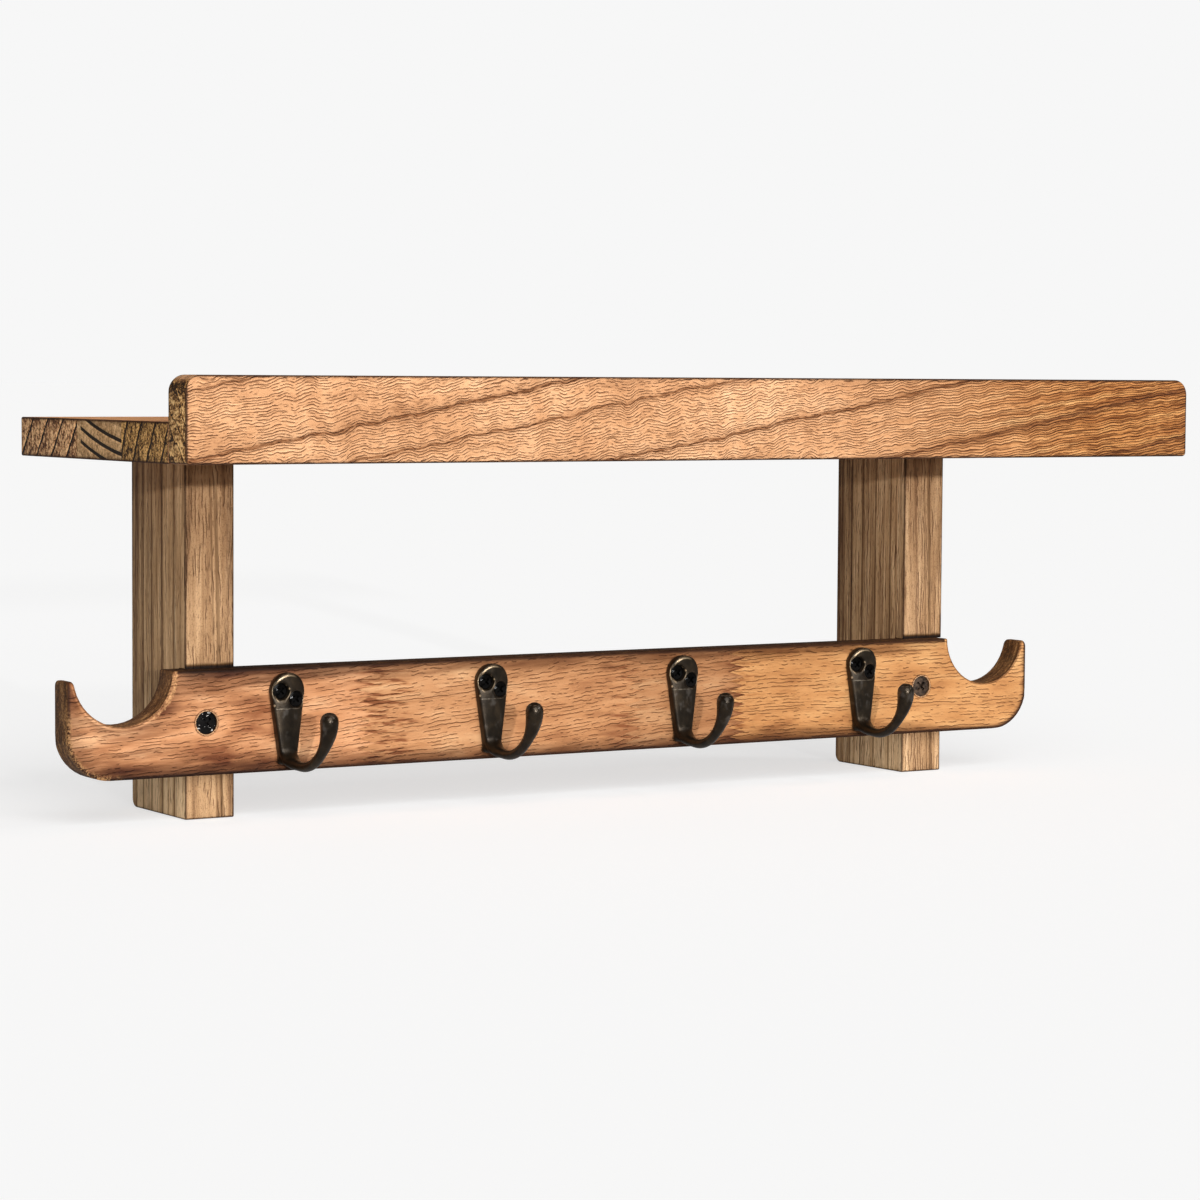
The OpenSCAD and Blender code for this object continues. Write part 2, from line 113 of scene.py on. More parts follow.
class Graph:
    """A new material and short names for the nodes it is built from. x, y and z are the place in
    millimetres, and nx, ny and nz the way the face points."""

    def __init__(self, name):
        self.material = bpy.data.materials.new(name)
        self.material.use_nodes = True
        self.tree = self.material.node_tree
        self.tree.nodes.clear()
        coords = self.new("ShaderNodeTexCoord")
        split = self.new("ShaderNodeSeparateXYZ")
        self.tree.links.new(coords.outputs["Object"], split.inputs[0])
        self.x, self.y, self.z = (Val(self, split.outputs[i]) * 1000.0 for i in range(3))
        normal = self.new("ShaderNodeSeparateXYZ")
        geometry = self.new("ShaderNodeNewGeometry")
        self.tree.links.new(geometry.outputs["True Normal"], normal.inputs[0])
        self.nx, self.ny, self.nz = (Val(self, normal.outputs[i]) for i in range(3))

    def new(self, kind, **settings):
        node = self.tree.nodes.new(kind)
        for key, value in settings.items():
            setattr(node, key, value)
        return node

    def put(self, socket, value):
        if isinstance(value, Val):
            self.tree.links.new(value.socket, socket)
        else:
            socket.default_value = value

    def math(self, operation, *values):
        node = self.new("ShaderNodeMath", operation=operation)
        for socket, value in zip(node.inputs, values):
            self.put(socket, value)
        return Val(self, node.outputs[0])

    def low(self, *values):
        """The lowest of the values."""
        return functools.reduce(lambda a, b: self.math("MINIMUM", a, b), values)

    def high(self, *values):
        """The highest of the values."""
        return functools.reduce(lambda a, b: self.math("MAXIMUM", a, b), values)

    def size(self, value):
        """The value without its sign."""
        return self.math("ABSOLUTE", value)

    def away(self, a, b):
        """How far a point is whose two offsets are a and b."""
        return self.math("SQRT", a * a + b * b)

    def rise(self, value, start, end):
        """0 before start and 1 after end, smooth between. start may be above end."""
        node = self.new("ShaderNodeMapRange", interpolation_type="SMOOTHSTEP")
        ends = (start, end, 0.0, 1.0) if start < end else (end, start, 1.0, 0.0)
        for socket, entry in zip(node.inputs, (value, *ends)):
            self.put(socket, entry)
        return Val(self, node.outputs[0])

    def line(self, value, centre, half, soft):
        """1 within half of centre, falling to 0 over soft."""
        return self.rise(self.size(value - centre), half + soft, half)

    def vector(self, *parts):
        node = self.new("ShaderNodeCombineXYZ")
        for socket, value in zip(node.inputs, parts):
            self.put(socket, value)
        return Val(self, node.outputs[0])

    def noise(self, x, y, z, detail=2.0, rough=0.5):
        """Noise from about -0.5 to 0.5, with features about 1 across."""
        node = self.new("ShaderNodeTexNoise", noise_dimensions="3D")
        self.put(node.inputs["Vector"], self.vector(x, y, z))
        node.inputs["Scale"].default_value = 1.0
        node.inputs["Detail"].default_value = detail
        node.inputs["Roughness"].default_value = rough
        return Val(self, node.outputs[0]) - 0.5

    def mix(self, amount, a, b, blend="MIX"):
        """Colour a where amount is 0 and b, or b blended with a, where it is 1."""
        node = self.new("ShaderNodeMix", data_type="RGBA", blend_type=blend)
        self.put(node.inputs[0], amount)
        self.put(node.inputs[6], a)
        self.put(node.inputs[7], b)
        return Val(self, node.outputs[2])

    def stain(self, amount, colour, by):
        """The colour, multiplied by another where amount is 1."""
        return self.mix(amount, colour, self.mix(1.0, colour, by, "MULTIPLY"))

    def ramp(self, value, stops):
        """A colour from a value of 0 to 1, through stops of place and colour."""
        node = self.new("ShaderNodeValToRGB")
        self.put(node.inputs[0], value)
        items = node.color_ramp.elements
        while len(items) < len(stops):
            items.new(0.5)
        for item, (place, colour) in zip(items, stops):
            item.position, item.color = place, colour
        return Val(self, node.outputs[0])

    def recolour(self, colour):
        """Gives the surface another colour."""
        self.colour = colour
        self.put(self.base, colour)

    def finish(self, colour, rough, height, relief, metallic=0.0, specular=0.5):
        """The surface. relief is how high 1 in height stands, in metres."""
        surface = self.new("ShaderNodeBsdfPrincipled")
        self.base = surface.inputs["Base Color"]
        self.recolour(colour)
        self.put(surface.inputs["Roughness"], rough)
        surface.inputs["Metallic"].default_value = metallic
        surface.inputs["Specular IOR Level"].default_value = specular
        bump = self.new("ShaderNodeBump")
        bump.inputs["Strength"].default_value = 1.0
        bump.inputs["Distance"].default_value = relief
        self.put(bump.inputs["Height"], height)
        self.tree.links.new(bump.outputs[0], surface.inputs["Normal"])
        output = self.new("ShaderNodeOutputMaterial")
        self.tree.links.new(surface.outputs[0], output.inputs[0])
        return self.material


# ---------------------------------------------------------------- wood


def box_edge(g, lo, hi):
    """Distance to the nearest edge on the surface of a straight board with these corners."""
    gaps = [g.low(p - a, b - p) for p, a, b in zip((g.x, g.y, g.z), lo, hi)]
    return g.low(g.high(gaps[0], gaps[1]), g.high(gaps[0], gaps[2]), g.high(gaps[1], gaps[2]))


def dashes(g, along, across, depth, length, pitch, thin, keep, bend):
    """Thin broken lines that run with the grain in layers a pitch apart: the dark furrows, and a
    pale crest beside each, which wood() paints on as a highlight. Where keep is low there are more
    of them."""
    drift = g.noise(along / 26.0, across / 6.0, depth / 6.0, 2.0, 0.5)
    layer = (across + depth * 0.8) / pitch + drift * bend
    index = g.math("FLOOR", layer)
    within = (across * 0.8 - depth) / 7.0
    gate = g.noise(along / length + index * 7.3, index * 3.1, within, 2.0, 0.6)
    wander = g.noise(along / (length * 0.6), index * 5.9, within, 2.0, 0.5)
    place = layer - index - 0.5 - wander * 0.9
    on = g.rise(gate - keep, -0.03, 0.06)
    dark = g.rise(g.size(place), thin * 1.25, thin * 0.4) * on
    return dark, g.rise(g.size(place - thin * 2.1), thin * 1.4, thin * 0.4) * on


# pore is the furrows, hair finer lines, painted_crest_highlight the painted highlight beside a
# furrow, line and fade the growth rings, burn and smoke the scorched edges, and end_ the end grain.
# _len and _wid are sizes.
WOOD = dict(
    pore_len=8.0, pitch=1.5, pore=0.8, thin=0.17, keep=0.0, bend=2.4, hair_len=5.0, hair_wid=0.5,
    hair=0.35, streak=0.5, line=0.75, line_wid=0.06, fade=0.25, burn=0.8, burn_wid=0.8, smoke=0.25,
    smoke_wid=7.0, smoke_scale=1.0, painted_crest_highlight=0.6, relief=0.00022, rough=0.58, end_line=0.9,
    end_wid=0.05, end_glow=0.0, crowd=0.10, grit=1.0, wash=(1.0, 1.0, 1.0, 1))


def wood(g, along, across, depth, band, end_band, end, edge, tint, opts):
    """Open-pored wood. along runs with the grain, band and end_band count the growth rings on faces
    and on end grain, end is 1 on end grain, edge is the distance to a scorched edge and tint a slow
    colour change from -0.5 to 0.5. opts change WOOD's values."""
    o = dict(WOOD, **opts)
    phase = g.math("FRACT", band)
    slow = g.noise(along / 45.0 + 7.3, across / 3.6, depth / 3.6, 3.0, 0.55)
    # pores crowd together where a ring starts
    start = g.rise(phase, o["fade"] * 1.6, 0.0)
    keep = o["keep"] - start * o["crowd"] - slow * 0.25
    furrow, crest_and_painted_highlight = dashes(g, along, across, depth, o["pore_len"], o["pitch"], o["thin"], keep,
                           o["bend"])
    thin = o["hair_wid"]
    hair = g.noise(along / o["hair_len"] + 31.0, across / thin, depth / thin, 3.0, 0.62)
    nick = g.rise(hair, 0.05, 0.22)
    # growth rings: a dark late line, and a softer shade before and after it
    late = g.rise(phase, 1.0 - o["line_wid"], 1.0 - o["line_wid"] * 0.45)
    after = g.rise(phase, o["fade"], 0.0)
    before = g.rise(phase, 1.0 - 3.0 * o["line_wid"], 1.0)
    soft = g.high(after * 0.26, before * 0.30) * (hair + 1.0)
    ring = g.high(late * (hair * 2.2 + 0.92), soft) * o["line"]
    # colours
    broad = tint + slow * o["streak"]
    face = g.ramp(broad + 0.5, [(0.05, o["dark"]), (0.42, o["mid"]), (0.66, o["pale"]),
                                (0.95, o["glow"])])
    face = g.mix(1.0, face, o["wash"], "MULTIPLY")
    # the pale crest beside each furrow is painted on as a highlight
    face = g.stain(crest_and_painted_highlight * o["painted_crest_highlight"], face, (1.26, 1.30, 1.38, 1))
    face = g.mix(ring, face, o["ring"])
    face = g.stain(nick * o["hair"], face, o["pore_mult"])
    face = g.stain(furrow * o["pore"], face, o["pore_mult"])
    # end grain: open pores as dots, rings as dark lines, each ring paler on one side
    dots = g.noise(along / 0.7, across / 0.75, depth / 0.9, 3.0, 0.65)
    pits = g.noise(along / 3.0, across / 1.8 + 9.0, depth / 2.6, 3.0, 0.6)
    phase_end = g.math("FRACT", end_band)
    cut = g.rise(0.5 - g.size(phase_end - 0.5) + dots * 0.05, o["end_wid"] + 0.035,
                 o["end_wid"])
    shade = (0.5 - phase_end) * 0.25 + (dots * 1.5 + pits * 1.3) * o["grit"]
    ends = g.ramp(tint * 0.4 + shade + 0.5, [(0.18, o["end_dark"]), (0.5, o["end_mid"]),
                                             (0.85, o["end_pale"])])
    ends = g.mix(1.0, ends, (1.0, 0.92, 0.84, 1), "MULTIPLY")
    beside = g.rise(phase_end, o["end_wid"] + 0.20, o["end_wid"] + 0.07) * o["end_glow"]
    ends = g.stain(beside, ends, (1.40, 1.36, 1.28, 1))
    ends = g.mix(cut * o["end_line"], ends, o["end_line_tone"])
    colour = g.mix(end, face, ends)
    # scorched edges
    smoke = g.rise(edge * o["smoke_scale"] + slow * 14.0, o["smoke_wid"], 0.0) * o["smoke"]
    char = g.rise(edge + hair * 1.6 - furrow * 0.3, o["burn_wid"], o["burn_wid"] * 0.3) * o["burn"]
    colour = g.stain(smoke, colour, o["smoke_mult"])
    colour = g.mix(char, colour, o["burn_tone"])
    height = hair * 0.35 + (crest_and_painted_highlight * 0.35 - furrow - ring * 0.3 - nick * 0.4) * (1.0 - end)
    height = height + (dots * 1.2 - cut) * end
    rough = hair * 0.2 + char * 0.12 + o["rough"]
    return g.finish(colour, rough, height, o["relief"], specular=0.16)


# the rack's own wood
PALE = dict(
    dark=tone(178, 122, 80), mid=tone(212, 156, 110), pale=tone(226, 172, 126),
    glow=tone(244, 198, 152), ring=tone(122, 74, 40), pore_mult=(0.36, 0.29, 0.25, 1),
    end_dark=tone(96, 66, 34), end_mid=tone(158, 118, 74), end_pale=tone(206, 170, 116),
    end_line_tone=tone(44, 24, 10), smoke_mult=(0.30, 0.24, 0.20, 1), burn_tone=tone(50, 27, 14))


def lip_wood():
    """The lip: curly grain with slanted rings, its right end darker and more deeply furrowed."""
    g = Graph("lip_wood")
    x, y, z = g.x, g.y, g.z
    lo, hi = mm_box("front_lip")
    far = g.rise(x, 30.0, 215.0)
    sway = g.noise(x / 70.0, y / 60.0, z / 55.0, 1.0) * 9.0
    curl = g.noise(x / 19.0 + 3.0, y / 90.0, z / 60.0 + x / 260.0, 2.0, 0.6) * (6.0 - far * 2.5)
    wave = g.noise(x / 4.2, y / 12.0, z / 7.0, 1.0) * (1.3 - far * 0.8)
    across = z + sway * 0.5 + curl + wave - x * 0.12
    # the rings cross the face as slanted lines, further apart to the right
    slant = (10.0 - z - curl * 0.9 - sway * 0.35 - wave * 0.6) * 5.4
    along_face = x + slant + (y - lo[1]) * 6.0
    crossings = (0.0, 0.06, 0.275, 0.38, 0.56, 0.761, 0.93)
    last = len(crossings) - 1
    stops = [(place, grey(i / last)) for i, place in enumerate(crossings)]
    band = g.ramp(along_face / 720.0 + 0.5, stops) * last + 0.001
    swirl = g.noise(y / 9.0, z / 15.0, x / 40.0, 2.0, 0.5)
    end_band = (z - y * 1.05) / 10.0 + swirl * 1.6
    figure = g.noise(x / 9.0 + z / 60.0, y / 90.0, z / 80.0, 2.0) * 0.55
    ripple = g.noise(x / 60.0, across / 2.4, y / 30.0, 3.0, 0.6) * far * 2.2
    face = g.noise(x / 42.0, y / 50.0, z / 26.0, 2.0) * 0.8 + figure + ripple - 0.02
    ends = g.rise(z, 17.0, 24.0) * -0.9 + g.noise(y / 12.0, z / 9.0, 4.0, 1.0) * 1.2
    end = g.rise(g.size(g.nx), 0.55, 0.9)
    tint = face * (1.0 - end) + ends * end
    opts = dict(
        PALE, pore_len=5.0, pitch=1.2, pore=0.98, keep=-0.06 - far * 0.13, bend=1.8, hair_len=5.0,
        painted_crest_highlight=0.95, hair_wid=0.42, hair=0.70, line_wid=0.085, fade=0.14, line=0.92, burn_wid=1.2,
        burn=0.92, smoke=0.25, smoke_wid=3.0, end_line=0.85, end_wid=0.04, end_glow=0.6, grit=1.5,
        end_dark=tone(48, 32, 16), end_mid=tone(180, 134, 80), end_pale=tone(252, 214, 152),
        wash=g.mix(far, (0.93, 0.94, 0.95, 1), (0.66, 0.53, 0.33, 1)))
    material = wood(g, x / (1.0 + far * 1.2), across, y + curl, band, end_band, end,
                    box_edge(g, lo, hi), tint, opts)
    # long deep furrows towards the right end
    deep, _ = dashes(g, x, across, y, 18.0, 1.9, 0.24, -0.05, 1.3)
    fine, _ = dashes(g, x + 50.0, across + 0.7, y, 7.0, 1.3, 0.22, 0.06, 1.6)
    furrows = g.high(deep * far * 0.9, fine * 0.6) * (1.0 - end)
    g.recolour(g.stain(furrows, g.colour, (0.34, 0.25, 0.17, 1)))
    return material


def stave_wood(name, node):
    """One of the shelf's staves. Their end grain differs: two have steep rings, one has arcs."""
    g = Graph(name)
    x, y, z = g.x, g.y, g.z
    lo, hi = shelf_box()
    sway = g.noise(x / 160.0, y / 22.0, z / 14.0, 2.0)
    if node == "shelf_stave_middle":
        # three arcs, which stop just short of the back stave
        back = mm_box(node)[1][1]
        rings = ((y + 138.0) * (y + 138.0) * 0.0024 - z) / 5.6 + sway * 0.10 + 0.607
        few = g.rise(rings, 0.4, 0.6) * g.rise(rings, 3.6, 3.4) * g.rise(y, back - 3.0, back - 4.5)
        shift = 40.0
        opts = dict(end_wid=0.13, end_line=few * 0.98, end_dark=tone(132, 102, 68),
                    end_mid=tone(200, 162, 116), end_pale=tone(240, 206, 160),
                    end_line_tone=tone(24, 13, 6), end_glow=few * 0.4, grit=1.0)
    elif node == "shelf_stave_back":
        rings = (y + z * 0.78) / 16.3 + sway * 0.22 + 0.49
        shift = 0.0
        opts = dict(end_wid=0.036, end_line=1.0, end_dark=tone(74, 44, 24),
                    end_mid=tone(184, 134, 92), end_pale=tone(255, 214, 164),
                    end_line_tone=tone(20, 10, 5), end_glow=0.8, grit=1.8)
    else:
        rings = (y + z * 0.52) / 13.5 + sway * 0.25 + 0.185
        shift = 90.0
        opts = dict(end_wid=0.045, end_line=0.97, end_dark=tone(46, 30, 12),
                    end_mid=tone(158, 118, 68), end_pale=tone(234, 190, 122),
                    end_line_tone=tone(24, 12, 5), end_glow=0.5, grit=1.8)
    curl = g.noise(x / 24.0 + shift, y / 60.0, z / 60.0, 2.0) * 1.8
    drift = g.noise(x / 120.0 + shift, y / 50.0, 0.0, 1.0) * 10.0
    tint = g.noise(x / 60.0 + shift, y / 22.0, z / 30.0, 2.0) * 0.7 + 0.03
    end = g.rise(g.size(g.nx), 0.55, 0.9)
    on_top = g.rise(g.nz, 0.6, 0.9)
    opts = dict(PALE, pore_len=9.0, line=0.6, fade=0.3, burn_wid=1.3, burn=0.92, smoke=0.45,
                smoke_wid=3.5, keep=0.02,
                wash=g.mix(on_top, (0.90, 0.86, 0.82, 1), (1.22, 1.10, 1.0, 1)), **opts)
    # the front edge is glued to the lip, so it isn't scorched
    gap_x, gap_y, gap_z = g.low(x - lo[0], hi[0] - x), hi[1] - y, g.low(z - lo[2], hi[2] - z)
    edge = g.low(g.high(gap_x, gap_z), g.high(gap_x, gap_y), g.high(gap_z, gap_y))
    band = (y + drift + curl) / 11.0 + z / 40.0 + shift
    return wood(g, x + shift, y + curl, z + curl * 0.3, band, rings, end, edge, tint, opts)


def post_wood(name, node, shift):
    """A post: upright grain, soot with a painted contact shadow above the rail, and a painted
    shadow under the shelf.
    """
    g = Graph(name)
    x, y, z = g.x, g.y, g.z
    lo, hi = mm_box(node)
    above_rail, below_top = z - mm_box("hook_rail")[1][2], hi[2] - z
    front = g.rise(g.size(g.ny), 0.4, 0.8)
    sway = g.noise(x / 40.0 + shift, y / 40.0, z / 90.0, 2.0) * 5.0
    wave = g.noise(x / 9.0 + shift, y / 9.0, z / 16.0, 2.0) * 1.0
    # two brown stripes down the front, drifting to one side, and thin lines down the sides
    across_front = x - lo[0] - below_top * 0.022
    stripes = g.high(g.line(across_front + wave * 0.4, 11.8, 0.25, 0.5) * 0.6,
                     g.line(across_front + wave * 0.5, 14.2, 0.5, 0.7) * 0.8) * front
    lines = [g.line(y + wave * 0.35 + sway * 0.12, place, 0.45, 0.5)
             for place in (-12.5, -21.5, -32.5, -45.0)]
    stripes = g.high(stripes, g.high(*lines) * (1.0 - front) * 0.95)
    band = (y + sway + wave * 0.7) / 14.0 + (x - lo[0]) / 31.0 + shift
    streaks = g.noise(x / 4.0 + shift, y / 2.6 + sway * 0.05, z / 90.0, 4.0, 0.65)
    tone_and_painted_bounce = g.rise(y, -31.0, -35.0) * g.rise(z, -90.0, -20.0) * 0.20
    # the sides paler towards the foot are painted bounce light from the floor
    tone_and_painted_bounce = tone_and_painted_bounce + g.rise(z, -110.0, -150.0) * 0.44 - g.rise(y, -9.0, 0.0) * 0.35
    tint = streaks * (1.9 - front * 0.7) + front * 0.05 - 0.04 + tone_and_painted_bounce * (1.0 - front)
    end = g.rise(g.size(g.nz), 0.55, 0.9)
    opts = dict(
        PALE, dark=tone(120, 86, 58), mid=tone(184, 146, 108), pale=tone(210, 172, 132),
        glow=tone(238, 204, 164), ring=tone(104, 68, 42), pore_len=14.0, pitch=1.6, pore=0.8,
        thin=0.15, hair_len=4.0, hair_wid=0.45, hair=0.85, line_wid=0.05, fade=0.25, line=0.55,
        burn_wid=1.0, burn=0.85, smoke=0.3, smoke_wid=3.0, rough=0.64, streak=0.8, keep=0.03,
        wash=g.mix(front, (0.98, 0.97, 0.90, 1), (0.90, 0.865, 0.81, 1)))
    end_band = y / 7.0 + x / 12.0 + sway * 0.1
    material = wood(g, z, x + sway * 0.25 + wave, y + sway * 0.4 + wave, band, end_band, end,
                    box_edge(g, lo, hi), tint, opts)
    stipple = g.rise(g.noise(x / 0.55, y / 0.6, z / 0.8, 2.0, 0.6), 0.02, 0.20) * front * 0.45
    # a dark band just above the rail: soot, with a painted contact shadow where the post meets the
    # rail
    seat_soot_and_shadow = g.rise(above_rail + wave * 1.2, 2.9, 1.3) * g.rise(above_rail, -2.5, -0.5)
    seat_soot_and_shadow = seat_soot_and_shadow * front * g.rise(y, -40.0, -50.0)
    # painted shadow of the shelf: the post darkened below its top, more on the front
    painted_shadow_under_shelf = g.rise(below_top - wave, 16.0, 10.5) * (front * 0.40 + 0.14)
    marks_and_painted_shade = g.high(stripes * 0.75, seat_soot_and_shadow, stipple, painted_shadow_under_shelf)
    g.recolour(g.stain(marks_and_painted_shade, g.colour, (0.22, 0.16, 0.09, 1)))
    # the blackest part of that band: soot and painted contact shadow together
    soot = seat_soot_and_shadow * g.rise(above_rail + wave * 0.8, 1.9, 0.7)
    g.recolour(g.stain(soot, g.colour, (0.10, 0.08, 0.07, 1)))
    return material


def rail_wood():
    """The rail: finger-jointed, scorched round its outline, its scoops' front edges sanded back."""
    g = Graph("rail_wood")
    x, y, z = g.x, g.y, g.z
    lo, hi = mm_box("hook_rail")
    teeth = g.size(g.math("FRACT", z / 4.4) - 0.5) * 4.0 - 1.0
    teeth = teeth * (4.6 + g.noise(x / 30.0, 0.0, z / 5.0) * 4.0)
    joints = [x - centre - teeth for centre in (-123.0, 18.0, 76.0)]
    cuts = [g.rise(joint, -0.15, 0.15) for joint in joints]
    piece_number = cuts[0] + cuts[1] + cuts[2]
    seams = g.high(*[g.rise(g.size(joint), 0.55, 0.1) for joint in joints])
    smudge = g.high(g.line(joints[0], 8.0, 6.0, 12.0) * 1.3,
                    g.line(joints[1], -2.0, 2.0, 8.0) * 0.6,
                    g.line(joints[2], 3.0, 2.0, 8.0) * 0.6)
    smudge = smudge * g.rise(g.noise(x / 14.0, y / 9.0, z / 1.7, 3.0, 0.6), -0.04, 0.16)
    shift = piece_number * 37.0
    sway = g.noise(x / 95.0, y / 40.0 + shift, z / 50.0, 1.0) * 12.0
    wave = g.noise(x / 13.0, y / 30.0 + shift, z / 14.0, 2.0) * 1.8
    lean = 0.08 - cuts[2] * 0.08
    across = z + sway * 0.5 + wave - x * lean
    band = (across + y * 0.8) / 13.0 + piece_number * 0.37 + sway * 0.03
    # each length is darker before its joint, and the next one starts pale
    flash = g.high(*[g.rise(joint, -0.2, 0.2) * g.rise(joint, 16.0, 0.0) for joint in joints[1:]])
    dim = g.high(*[g.rise(joint, 0.2, -0.2) * g.rise(joint, -18.0, 0.0) for joint in joints[1:]])
    cloud = g.noise(x / 26.0 + shift, y / 50.0, z / 9.0, 3.0, 0.5)
    left, right = g.rise(x, -110.0, -190.0), g.rise(x, 165.0, 215.0)
    tint = cloud * (left * 0.8 + 1.25) + (seams * 0.3 + 0.15) * flash - dim * 0.24 - smudge * 0.55
    tint = tint + g.rise(x, -225.0, -175.0) * 0.08
    for centre, half, soft, depth in ((-180.0, 10.0, 16.0, 0.20), (-8.0, 12.0, 22.0, 0.12),
                                      (94.0, 10.0, 18.0, 0.14)):
        tint = tint - g.line(x, centre, half, soft) * depth
    washes = [(0.82, 0.73, 0.68, 1), (0.72, 0.66, 0.59, 1), (0.57, 0.50, 0.43, 1),
              (0.74, 0.67, 0.50, 1)]
    wash = g.ramp(piece_number / 3.0, [(i / 3, colour) for i, colour in enumerate(washes)])
    opts = dict(
        PALE, pore_len=6.5, pitch=1.7, pore=0.85, thin=0.13, keep=0.02, hair_len=6.0, hair_wid=0.45,
        bend=1.4, hair=0.45, painted_crest_highlight=0.5, line_wid=0.05, fade=0.4, line=0.35, burn=0.95,
        burn_wid=2.1, smoke=0.9, smoke_wid=10.0, smoke_scale=1.05 - left * 0.5 + right * 1.6,
        wash=wash, dark=tone(150, 94, 60))
    # distance to the outline, for the scorched edges
    side, bottom, below_top = g.low(x - lo[0], hi[0] - x), z - lo[2], hi[2] - z
    corner = CORNER_RADIUS - g.away(g.high(CORNER_RADIUS - side, 0.0),
                                    g.high(CORNER_RADIUS - bottom, 0.0))
    scoops = g.away(side - SCOOP_INSET, below_top) - SCOOP_RADIUS
    outline = g.low(below_top, corner, side, scoops + 4.0)
    near_front = y - lo[1]
    edge = g.high(outline, g.low(near_front, hi[1] - y)) + g.rise(scoops, 2.2, 1.0) * 9.0
    end = g.rise(g.size(g.nx), 0.75, 0.97) * g.rise(side, 3.0, 1.0)
    material = wood(g, x, across, y, band, (z + y) / 5.0, end, edge, tint, opts)
    # the ends, the scoops' walls and the edges are brown and open-grained
    walls = g.rise(g.size(g.ny), 0.80, 0.35)
    speck = g.noise(x / 1.0, y / 1.0, z / 1.0, 3.0, 0.7)
    grain = g.noise(x / 9.0, y / 1.6, z / 9.0, 3.0, 0.6) * 1.2
    brown = g.ramp(grain + speck * 1.1 + 0.5,
                   [(0.3, tone(56, 34, 17)), (0.55, tone(112, 76, 44)), (0.8, tone(178, 132, 84))])
    colour = g.mix(walls * 0.88, g.colour, brown)
    # scorch that drifts in from the long edges, strongest along the left length
    drift = g.noise(x / 30.0, y / 30.0, z / 2.4, 3.0, 0.55) * 9.0
    upper = g.rise(below_top + drift, 8.0, 0.5) * g.rise(x, -60.0, -150.0)
    scorch = g.high(g.rise(bottom + drift, 7.0, 0.8), upper)
    scorch = scorch * (left * 0.42 + 0.36 - right * 0.30) * g.rise(scoops, 2.0, 9.0)
    colour = g.stain(scorch, colour, (0.24, 0.17, 0.13, 1))
    # the top edge is burnt darkest, and the wood round the screws' heads is darkened as painted
    # shade of their recesses
    screws = g.low(*[g.away(x - place[0], z - place[2])
                     for place in (mm_centre("rail_screw_left"), mm_centre("rail_screw_right"))])
    soot = g.rise(g.nz, 0.6, 0.9) * g.rise(below_top, 2.5, 1.0) * 0.75
    # painted shade of the screws' recesses: a dark ring round each head
    painted_recess_shade = g.rise(screws + speck * 1.2, 6.3, 5.5) * g.rise(g.size(g.ny), 0.3, 0.6) * 0.9
    colour = g.stain(g.high(soot, painted_recess_shade), colour, (0.22, 0.16, 0.12, 1))
    # the front edge of each scoop is sanded back, raggedly on the left one's inner side
    ragged = g.noise(x / 1.8, y / 1.2, z / 1.8, 3.0, 0.65)
    on_left = g.rise(x, 0.0, -100.0)
    inner = g.rise(x, -232.0, -219.0) * on_left
    width = 0.75 + inner * 1.7
    rim = g.rise(scoops + ragged * 4.2 - width, 0.35, -0.2)
    rim = rim * g.rise(near_front + ragged * 1.2, 1.7, 0.9)
    rim = rim * g.rise(ragged, -0.20, 0.02) * g.rise(g.size(g.ny), 0.25, 0.45)
    rim = rim * g.high(on_left, g.rise(z, -112.0, -120.0) * 0.7)
    chipped = g.ramp(speck + 0.5, [(0.38, tone(120, 80, 46)), (0.62, tone(226, 172, 118))])
    colour = g.mix(rim * (inner * 0.30 + 0.42), colour, chipped)
    # a thin dark line where each scoop's wall meets the front
    in_front = g.rise(near_front, 2.0, 1.0)
    arris = g.high(g.rise(scoops + ragged * 0.6, 1.0, 0.5) * g.rise(x, 0.0, 100.0),
                   g.rise(g.size(scoops + ragged * 0.8 - 0.5), 0.55, 0.15)) * in_front
    colour = g.stain(arris * (0.65 - inner * 0.25), colour, (0.30, 0.22, 0.17, 1))
    # the left end's lower corner is sanded back to speckled pale wood
    low_end = g.rise(g.size(corner - 0.4), 2.6, 0.8) * g.rise(near_front, 5.0, 1.5)
    low_end = low_end * g.rise(x - lo[0], 28.0, 16.0) * g.rise(bottom, 34.0, 22.0)
    low_end = low_end * g.rise(speck, -0.06, 0.08)
    g.recolour(g.mix(low_end * 0.55, colour, tone(190, 142, 92)))
    return material


# ---------------------------------------------------------------- metal and small pieces


